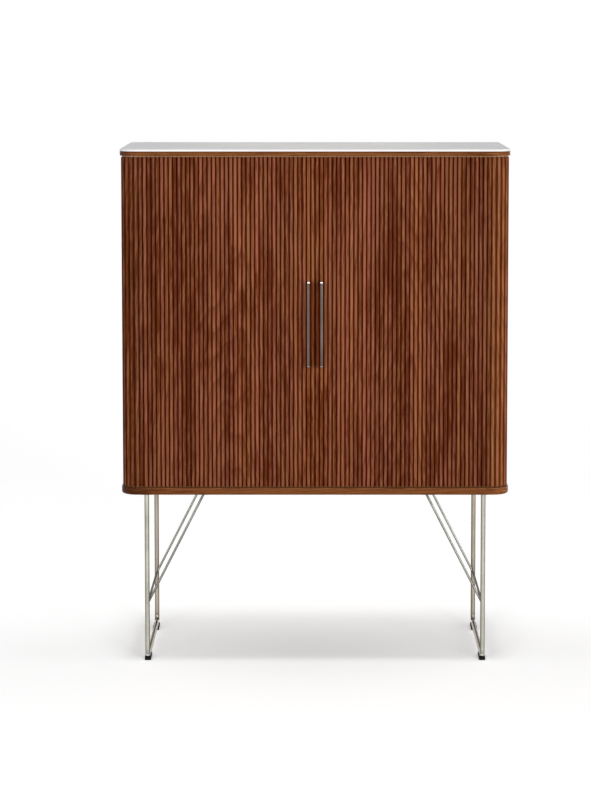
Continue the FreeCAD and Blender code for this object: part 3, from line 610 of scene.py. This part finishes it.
def random_cut():
    """A slat's own lightness and hue, as the slats come from many boards."""
    return saw_order.gauss(LIGHTNESS_MEAN, LIGHTNESS_SPREAD), saw_order.random()


half_base = (SLAT_PITCH - SLAT_GAP) / 2
slat = reeded_piece("slat", -half_base, half_base, [0.0])


def slat_row(name, first_run, count, side, redness, painted_shading=0.0):
    """Copies of the slat set along the path on one side (1 right, -1 left), joined into one piece."""
    copies = []
    for i in range(count):
        place, heading = on_path(first_run + (i + 0.5) * SLAT_PITCH)
        bpy.ops.object.select_all(action="DESELECT")
        slat.select_set(True)
        bpy.context.view_layer.objects.active = slat
        bpy.ops.object.duplicate()
        copy = bpy.context.object
        copy.location = (side * place.x, place.y, 0)
        copy.rotation_euler = (0, 0, side * heading)
        bpy.ops.object.transform_apply(location=True, rotation=True, scale=True)
        lightness, hue = random_cut()
        give_cut(copy, (lightness + painted_shading, hue, redness) * len(copy.data.vertices))
        copies.append(copy)
    for copy in copies:
        copy.select_set(True)
    bpy.context.view_layer.objects.active = copies[0]
    bpy.ops.object.join()
    copies[0].name = name
    bpy.ops.object.shade_smooth_by_angle(angle=SMOOTH_BELOW)
    return copies[0]


def stored(tree, name):
    """The X, Y and Z of a value stored on the mesh."""
    value = add_node(tree, "Attribute", {"attribute_name": name}).outputs["Vector"]
    return add_node(tree, "SeparateXYZ", Vector=value).outputs


def grey(tree, value):
    """A grey of a given value."""
    return add_node(tree, "CombineColor", _0=value, _1=value, _2=value).outputs[0]


def from_middle(tree, place, low, high):
    """How far a place lies from the middle of a stretch."""
    return maths(tree, "ABSOLUTE", maths(tree, "SUBTRACT", place, (low + high) / 2))


SLAT_TONES = {
    "Light": (0.286, 0.120, 0.0720, 1),
    "Mid": (0.124, 0.0345, 0.0130, 1),
    "Dark": (0.050, 0.008, 0.0015, 1),
}
SLAT_RINGS = 0.45
SLAT_SHINE = 0.04
slat_walnut, tree, shader, wood = walnut_finish("slat_walnut", SLAT_TONES, SLAT_RINGS, shine=SLAT_SHINE)
picks = stored(tree, "cut")
section = stored(tree, "section")
axes = axes_of(tree)
from_seam = maths(tree, "ABSOLUTE", axes["X"])
from_crown = maths(tree, "ABSOLUTE", section["X"])

HEART_LINE = 0.22
DOOR_SHIFT = 2.9
SEAM_W = 0.002
FIGURE_SHIFT = 0.3
from_heart = maths(tree, "SUBTRACT", from_seam, HEART_LINE)
right_door = spread(tree, axes["X"], -SEAM_W / 2, SEAM_W / 2, 0.0, DOOR_SHIFT)
along = maths(tree, "ADD", axes["Z"], right_door)
matched = add_node(tree, "CombineXYZ", X=from_heart, Y=axes["Y"], Z=along).outputs[0]
tree.links.new(matched, wood.inputs["Place"])
tree.links.new(spread(tree, picks["X"], 0.0, 1.0, -FIGURE_SHIFT, FIGURE_SHIFT), wood.inputs["Shift"])

DARKEST_SLAT, PALEST_SLAT = 0.91, 1.20
# Painted shade: the slats of the front run darken towards the outer ends of the doors and towards the bottom.
OUTER_DARK = 0.84
OUTER_FROM, OUTER_TO = 0.25, 0.44
FOOT_DARK = 0.93
FOOT_UP_TO = 0.30
outer = spread(tree, from_seam, OUTER_FROM, OUTER_TO, 1.0, OUTER_DARK)
foot = spread(tree, axes["Z"], slat_low, slat_low + FOOT_UP_TO, FOOT_DARK, 1.0)
falloff_shade = spread(tree, picks["Z"], 0.0, 1.0, 1.0, maths(tree, "MULTIPLY", outer, foot))
lightness = spread(tree, picks["X"], 0.0, 1.0, DARKEST_SLAT, PALEST_SLAT)
lightness = grey(tree, maths(tree, "MULTIPLY", lightness, falloff_shade))

SLAT_RED = (1.03, 0.95, 1.08, 1)
SLAT_GOLD = (1.00, 1.03, 0.82, 1)
HUE_DRIFT = 0.3
HUE_STRETCH = (1, 1, 0.06)
hue_drift = noise(tree, scale=70.0, place=object_place(tree, scale=HUE_STRETCH))
hue_drift = spread(tree, hue_drift, *NOISE_MIDDLE, -HUE_DRIFT, HUE_DRIFT)
hue = colour_mix(tree, maths(tree, "ADD", picks["Y"], hue_drift), SLAT_RED, SLAT_GOLD)
toned = tint(tree, 1.0, tint(tree, 1.0, wood.outputs["Colour"], lightness), hue)

# Painted shadow: the handles' shadow darkens the lead reeds beside and level with the grips.
HANDLE_SHADOW = (0.80, 0.62, 0.42, 1)
HANDLE_SHADOW_REACH = 0.0115
HANDLE_SHADOW_FADE = 1.15
GRIP_FULL, GRIP_END = 0.46, 0.54
grip_low, grip_high = (corner.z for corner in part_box("right_handle"))
grip = grip_high - grip_low
from_grip = from_middle(tree, axes["Z"], grip_low, grip_high)
along_grip = spread(tree, from_grip, grip * GRIP_FULL, grip * GRIP_END, 1.0, 0.0)
beside = spread(tree, from_seam, HANDLE_SHADOW_REACH, HANDLE_SHADOW_REACH * HANDLE_SHADOW_FADE, 1.0, 0.0)
toned = tint(tree, maths(tree, "MULTIPLY", along_grip, beside), toned, HANDLE_SHADOW)

# Painted shade: each reed turns warmer towards its edges and darkens into the grooves, red-black on the front
# run and browner on the corners and sides.
EDGE_WARM = (1.0, 0.76, 0.30, 1)
WARM_FADES = 0.40
EDGE_FADES = 0.76
GROOVE_RED = (0.56, 0.055, 0.002, 1)
GROOVE_BROWN = (0.66, 0.50, 0.38, 1)
GROOVE_FADES = 0.85
BASE_LEVEL = SLAT_BASE_T / SLAT_T
OUTSIDE_FROM, OUTSIDE_TO = BASE_LEVEL * 0.8, BASE_LEVEL * 0.95
toned = tint(tree, spread(tree, from_crown, WARM_FADES, EDGE_FADES), toned, EDGE_WARM)
flank = spread(tree, section["Y"], GROOVE_FADES, 1.0, 1.0, 0.0)
edge = spread(tree, from_crown, EDGE_FADES, 1.0)
outside = spread(tree, section["Y"], OUTSIDE_FROM, OUTSIDE_TO)
deep = maths(tree, "MULTIPLY", maths(tree, "MAXIMUM", flank, edge), outside)
groove = colour_mix(tree, picks["Z"], GROOVE_BROWN, GROOVE_RED)
groove_shaded = tint(tree, deep, toned, groove)

# The tongues are bare, paler wood, painted paler still as painted light where they show under the top board,
# with painted shade below that. The corner tongues carry a stronger painted highlight, and the lower tongues
# are painted dark as the shadow of the bottom board's groove.
TONGUE_PALE = (0.60, 0.38, 0.24, 1)
TONGUE_BARE = (0.74, 0.56, 0.46, 1)
TONGUE_SHADE = (0.140, 0.064, 0.027, 1)
TONGUE_FOOT = (0.095, 0.030, 0.006, 1)
TOP_SHADE, TOP_BARE = TONGUE_LENGTH * 0.76, TONGUE_LENGTH * 0.62
FOOT_FULL, FOOT_END = TONGUE_LENGTH * 0.66, TONGUE_LENGTH * 0.78
at_top = spread(tree, axes["Z"], slat_high - TOP_SHADE, slat_high - TOP_BARE)
at_foot = spread(tree, axes["Z"], slat_low + FOOT_FULL, slat_low + FOOT_END, 1.0, 0.0)
paler_and_highlit = colour_mix(tree, picks["Z"], TONGUE_BARE, TONGUE_PALE)
tongue = colour_mix(tree, at_foot, colour_mix(tree, at_top, TONGUE_SHADE, paler_and_highlit), TONGUE_FOOT)
from_waist = from_middle(tree, axes["Z"], slat_low, slat_high)
on_tongue = maths(tree, "GREATER_THAN", from_waist, (slat_high - slat_low) / 2 - TONGUE_LENGTH)
tree.links.new(colour_mix(tree, on_tongue, groove_shaded, tongue), shader.inputs["Base Color"])

# Painted light and shade: the right corner's slats are painted lighter and the left corner's darker.
CORNER_PAINTED_SHADING = {"left": -0.3, "right": 0.62}
lead_run = LEAD_SLATS * SLAT_PITCH
run_count = round((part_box("right_run_slats")[1].x - lead_run) / SLAT_PITCH)
wrap_start = lead_run + run_count * SLAT_PITCH
corner_count = int((front_run + corner_run - wrap_start) / SLAT_PITCH)
side_start = wrap_start + corner_count * SLAT_PITCH
side_count = int((front_run + corner_run + side_run + REAR_TURN_SHOW - side_start) / SLAT_PITCH)
for side, sign in SIDES.items():
    door = f"{side}_door"
    run_slats = slat_row(f"{side}_run_of_slats", lead_run, run_count, sign, redness=1.0)
    corner_slats = slat_row(
        f"{side}_corner_of_slats", wrap_start, corner_count, sign, redness=0.0, painted_shading=CORNER_PAINTED_SHADING[side])
    side_slats = slat_row(f"{side}_side_of_slats", side_start, side_count, sign, redness=0.0)
    for piece, node, body in (
        (run_slats, "run_slats", door),
        (corner_slats, "corner_slats", "cabinet"),
        (side_slats, "side_slats", "cabinet"),
    ):
        piece.data.materials.append(slat_walnut)
        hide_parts(f"{side}_{node}")
        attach(piece, body)
    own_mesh(run_slats)


# Canvas. Plain-woven cotton glued behind the slats lets them bend round the corners as one sheet. It is cut to
# the slats' length less a margin at each end, and one stretch backs the flat run and another the wrapped part.
CANVAS_GAP = 0.0001
CANVAS_T = 0.0008
CANVAS_LIGHT = (0.40, 0.34, 0.26, 1)
CANVAS_DARK = (0.22, 0.18, 0.13, 1)
THREAD = 0.0011
SLUB_STRETCH = (1, 1, 0.2)
cotton, tree, shader = new_finish("cotton_canvas", Roughness=0.9, Sheen_Weight=0.15)
axes = axes_of(tree)
along = maths(tree, "ADD", maths(tree, "ABSOLUTE", axes["X"]), axes["Y"])
turns = math.pi / THREAD
warp = maths(tree, "SINE", maths(tree, "MULTIPLY", along, turns))
weft = maths(tree, "SINE", maths(tree, "MULTIPLY", axes["Z"], turns))
over = spread(tree, maths(tree, "MULTIPLY", warp, weft), -1.0, 1.0)
slub = noise(tree, scale=400.0, detail=3.0, place=object_place(tree, scale=SLUB_STRETCH))
threads = maths(tree, "MULTIPLY", over, spread(tree, slub, *NOISE_WIDE, to_low=0.7))
tree.links.new(colour_mix(tree, threads, CANVAS_DARK, CANVAS_LIGHT), shader.inputs["Base Color"])
relief(tree, shader, over, depth=0.0003, strength=0.8)
(run_start, _, canvas_low), (run_end, _, canvas_high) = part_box("right_run_canvas")
wrap_end = side_start + side_count * SLAT_PITCH


def back_of_slats(run, side):
    """The middle of the cloth behind the slats, a given run from the seam."""
    place, heading = on_path(run)
    inwards = Vector((-math.sin(heading), math.cos(heading), 0))
    place = place + inwards * (CANVAS_GAP + CANVAS_T / 2)
    return Vector((side * place.x, place.y, 0))


def canvas_strip(name, side, start, end, count):
    """A strip of cloth extruded edge by edge, in a count of steps, along the back of the slats."""
    corners = [back_of_slats(start + (end - start) * i / count, side) for i in range(count + 1)]
    bpy.ops.object.select_all(action="DESELECT")
    bpy.ops.mesh.primitive_plane_add(size=1)
    strip = bpy.context.object
    strip.name = name
    for vertex in strip.data.vertices:
        at = corners[vertex.co.x > 0]
        vertex.co = (at.x, at.y, canvas_low if vertex.co.y < 0 else canvas_high)

    def at_end(point):
        return near(point.x, corners[1].x) and near(point.y, corners[1].y)

    bpy.ops.object.mode_set(mode="EDIT")
    pick_edges(strip, lambda a, b: at_end(a) and at_end(b))
    for last, at in zip(corners[1:], corners[2:]):
        bpy.ops.mesh.extrude_region_move(TRANSFORM_OT_translate={"value": at - last})
    bpy.ops.mesh.select_all(action="SELECT")
    bpy.ops.mesh.normals_make_consistent(inside=False)
    bpy.ops.object.mode_set(mode="OBJECT")
    thicken = strip.modifiers.new("cloth", "SOLIDIFY")
    thicken.thickness = CANVAS_T
    thicken.offset = 0.0
    bpy.ops.object.modifier_apply(modifier=thicken.name)
    bpy.ops.object.shade_smooth_by_angle(angle=SMOOTH_BELOW)
    strip.data.materials.append(cotton)
    return strip


for side, sign in SIDES.items():
    strip = canvas_strip(f"{side}_run_cloth", sign, run_start, run_end, run_count)
    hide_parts(f"{side}_run_canvas")
    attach(strip, f"{side}_door")
    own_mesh(strip)
    strip = canvas_strip(f"{side}_wrap_cloth", sign, wrap_start, wrap_end, 2 * side_count)
    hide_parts(f"{side}_wrap_canvas")
    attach(strip, "cabinet")


# Lead rails. The stiff edge of each door is three reeds worked on one thicker walnut rail, so that it can take
# a handle. It runs in the same grooves as the slats.
LEAD_BACK = 0.009
LEAD_END_CLEAR = 0.006
LEAD_CUTS = ((0.50, 1.00, 1.0), (0.60, 0.85, 1.0), (0.50, 0.60, 1.0))
back_low, back_high = slat_low + LEAD_END_CLEAR, slat_high - LEAD_END_CLEAR
for side, sign in SIDES.items():
    node_low, node_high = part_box(f"{side}_lead_rail")
    centres = [sign * (i + 0.5) * SLAT_PITCH for i in range(LEAD_SLATS)]
    rail = reeded_piece(f"{side}_lead_edge", node_low.x, node_high.x, centres)
    bpy.ops.object.mode_set(mode="EDIT")
    cut_across(2, (back_low, back_high))
    pick_faces(rail, lambda at, normal: normal.y > SQUARE_ON and back_low < at.z < back_high)
    push_out(-LEAD_BACK)
    bpy.ops.object.mode_set(mode="OBJECT")
    rail.location.y = y_path
    bpy.ops.object.transform_apply(location=True, rotation=True, scale=True)
    give_cut(rail, [pick for v in rail.data.vertices for pick in LEAD_CUTS[int(abs(v.co.x) / SLAT_PITCH)]])
    bpy.ops.object.shade_smooth_by_angle(angle=SMOOTH_BELOW)
    rail.data.materials.append(slat_walnut)
    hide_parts(f"{side}_lead_rail")
    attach(rail, f"{side}_door")
bpy.data.objects.remove(slat)


# Handles. A square 7 mm steel bar with tight elbows stands off each lead rail, brushed lengthways. Its dark
# tone is a painted dark reflection, with painted shading across the bar, and its elbows and arms carry a
# painted highlight. Screws from behind hold it.
# Painted reflection: the bar's dark tone.
HANDLE_DARK = (0.095, 0.078, 0.066, 1)
HANDLE_LIGHT = (0.150, 0.125, 0.106, 1)
HANDLE_BRIGHT = (0.92, 0.90, 0.88, 1)
HIGHLIGHT_END = 0.0045
HIGHLIGHT_FULL = HIGHLIGHT_END * 0.7
HIGHLIGHT_BELOW, HIGHLIGHT_ABOVE = 0.3, 0.85
HANDLE_INNER, HANDLE_OUTER = 0.0145, 0.0185
INNER_TONE, OUTER_TONE = 0.75, 1.25
steel_painted_reflection, tree, shader = new_finish("steel_painted_reflection", Metallic=1.0, Specular_Tint=STEEL_RIM)
axes = axes_of(tree)
drift = noise(tree, scale=14.0, detail=3.0)
tone = colour_mix(tree, spread(tree, drift, *NOISE_MIDDLE), HANDLE_DARK, HANDLE_LIGHT)
from_seam = maths(tree, "ABSOLUTE", axes["X"])
# Painted shading: the bar's inner side is darker and its outer side lighter.
across = spread(tree, from_seam, HANDLE_INNER, HANDLE_OUTER, INNER_TONE, OUTER_TONE)
tone = tint(tree, 1.0, tone, grey(tree, across))
from_grip = from_middle(tree, axes["Z"], grip_low, grip_high)
# Painted highlight: the elbows and arms, stronger towards the top.
paler_and_highlit = spread(tree, from_grip, grip / 2 - HIGHLIGHT_END, grip / 2 - HIGHLIGHT_FULL)
upper = spread(tree, axes["Z"], grip_low, grip_high, HIGHLIGHT_BELOW, HIGHLIGHT_ABOVE)
paler_and_highlit = maths(tree, "MULTIPLY", paler_and_highlit, upper)
lines = noise(tree, scale=2200.0, place=object_place(tree, scale=BRUSHED))
rough = spread(tree, lines, *NOISE_WIDE, to_low=0.20, to_high=0.32)
coat(tree, shader, colour_mix(tree, paler_and_highlit, tone, HANDLE_BRIGHT), rough)
relief(tree, shader, lines, depth=0.00003, strength=0.35)
for side in SIDES:
    dress(steel_painted_reflection, f"{side}_handle")
    dress(plated_steel, f"{side}_handle_screws")


# Top slab. A thin white solid-surface slab laid on the top board, honed to a soft sheen, with its upper edge
# eased. It has very faint clouding, and its top carries painted shade towards the ends.
SLAB_WHITE = (0.85, 0.836, 0.83, 1)
SLAB_CLOUD = (0.80, 0.786, 0.781, 1)
SLAB_END_SHADE = (0.90, 0.912, 0.922, 1)
CLOUDED = (0.35, 0.7)
END_FROM, END_TO = 0.18, 0.42
LEVEL_FROM, LEVEL_TO = 0.8, 0.95
white_slab, tree, shader = new_finish("white_slab", Specular_IOR_Level=0.03)
clouds = spread(tree, noise(tree, scale=7.0, detail=5.0, roughness=0.6), *CLOUDED)
tone = colour_mix(tree, clouds, SLAB_WHITE, SLAB_CLOUD)
# Painted shade: the slab's top face greys towards its ends.
to_end = spread(tree, maths(tree, "ABSOLUTE", axes_of(tree)["X"]), END_FROM, END_TO)
level = spread(tree, axes_of(tree, "Normal")["Z"], LEVEL_FROM, LEVEL_TO)
tone = tint(tree, maths(tree, "MULTIPLY", to_end, level), tone, SLAB_END_SHADE)
specks = noise(tree, scale=900.0)
coat(tree, shader, tone, spread(tree, specks, *NOISE_WIDE, to_low=0.45, to_high=0.6))
relief(tree, shader, specks, depth=0.00002, strength=0.4)
dress(white_slab, "top_slab")


# Studio floor, light and camera. A pale floor that keeps the soft shadow, an even white surround, two low
# lamps from the front, a weaker one from the right, three overhead, and a long lens above the top.
def in_sight(tree):
    """1 for rays that see a thing, straight, mirrored or through glass, and 0 for those that gather light."""
    rays = add_node(tree, "LightPath").outputs
    direct = maths(tree, "MAXIMUM", rays["Is Camera Ray"], rays["Is Glossy Ray"])
    return maths(tree, "MAXIMUM", direct, rays["Is Transmission Ray"])


FLOOR_SIZE = 60.0
FLOOR_SELF = 0.388
FLOOR_TONE = (0.94, 0.94, 0.94, 1)
WHITE = (1, 1, 1, 1)
bpy.ops.object.select_all(action="DESELECT")
bpy.ops.mesh.primitive_plane_add(size=FLOOR_SIZE)
floor = bpy.context.object
floor.name = "floor"
floor_paint, tree, paint = new_finish(
    "floor_paint", Base_Color=FLOOR_TONE, Roughness=0.9, Specular_IOR_Level=0.0)
glow = add_node(tree, "Emission", Color=WHITE, Strength=FLOOR_SELF)
glowing = add_node(tree, "AddShader", _0=paint.outputs[0], _1=glow.outputs[0])
shown = add_node(tree, "MixShader", _0=in_sight(tree), _1=paint.outputs[0], _2=glowing.outputs[0])
tree.links.new(shown.outputs[0], tree.nodes["Material Output"].inputs["Surface"])
floor.data.materials.append(floor_paint)

SURROUND = 0.15
world = bpy.data.worlds.new("surround")
world.use_nodes = True
bpy.context.scene.world = world
tree = world.node_tree
background = tree.nodes["Background"].inputs
background["Color"].default_value = WHITE
tree.links.new(spread(tree, in_sight(tree), 0.0, 1.0, SURROUND, 1.0), background["Strength"])


def far_lamp(name, heading, height, breadth, level):
    """A distant lamp: heading from the front, height and breadth in degrees, and level on a facing wall."""
    light = bpy.data.lights.new(name, "SUN")
    light.angle = math.radians(breadth)
    light.energy = level * math.pi
    lamp = bpy.data.objects.new(name, light)
    bpy.context.scene.collection.objects.link(lamp)
    turn, tilt = math.radians(heading), math.radians(height)
    away = Vector((math.sin(turn) * math.cos(tilt), -math.cos(turn) * math.cos(tilt), math.sin(tilt)))
    lamp.rotation_euler = away.to_track_quat("Z", "Y").to_euler()


far_lamp("left_lamp", heading=-26.0, height=8.0, breadth=14.0, level=0.327)
far_lamp("right_lamp", heading=26.0, height=8.0, breadth=14.0, level=0.485)
far_lamp("side_lamp", heading=78.0, height=10.0, breadth=20.0, level=0.20)
far_lamp("top_lamp", heading=0.0, height=85.0, breadth=9.0, level=0.190)
far_lamp("upper_left_lamp", heading=-105.0, height=58.0, breadth=44.0, level=0.114)
far_lamp("upper_right_lamp", heading=105.0, height=58.0, breadth=44.0, level=0.114)

CAMERA_AT = (0.0, -6.503, 1.619)
CAMERA_DOWN = math.radians(5.18)
CAMERA_LENS = 113.27
CAMERA_WIDTH = 36.0
CAMERA_SHIFT = (-0.0254, -0.1698)
camera_data = bpy.data.cameras.new("camera")
camera_data.lens = CAMERA_LENS
camera_data.sensor_width = CAMERA_WIDTH
camera_data.shift_x, camera_data.shift_y = CAMERA_SHIFT
camera = bpy.data.objects.new("camera", camera_data)
bpy.context.scene.collection.objects.link(camera)
camera.location = CAMERA_AT
camera.rotation_euler = (math.radians(90) - CAMERA_DOWN, 0, 0)
bpy.context.scene.camera = camera
bpy.context.scene.view_settings.view_transform = "Standard"
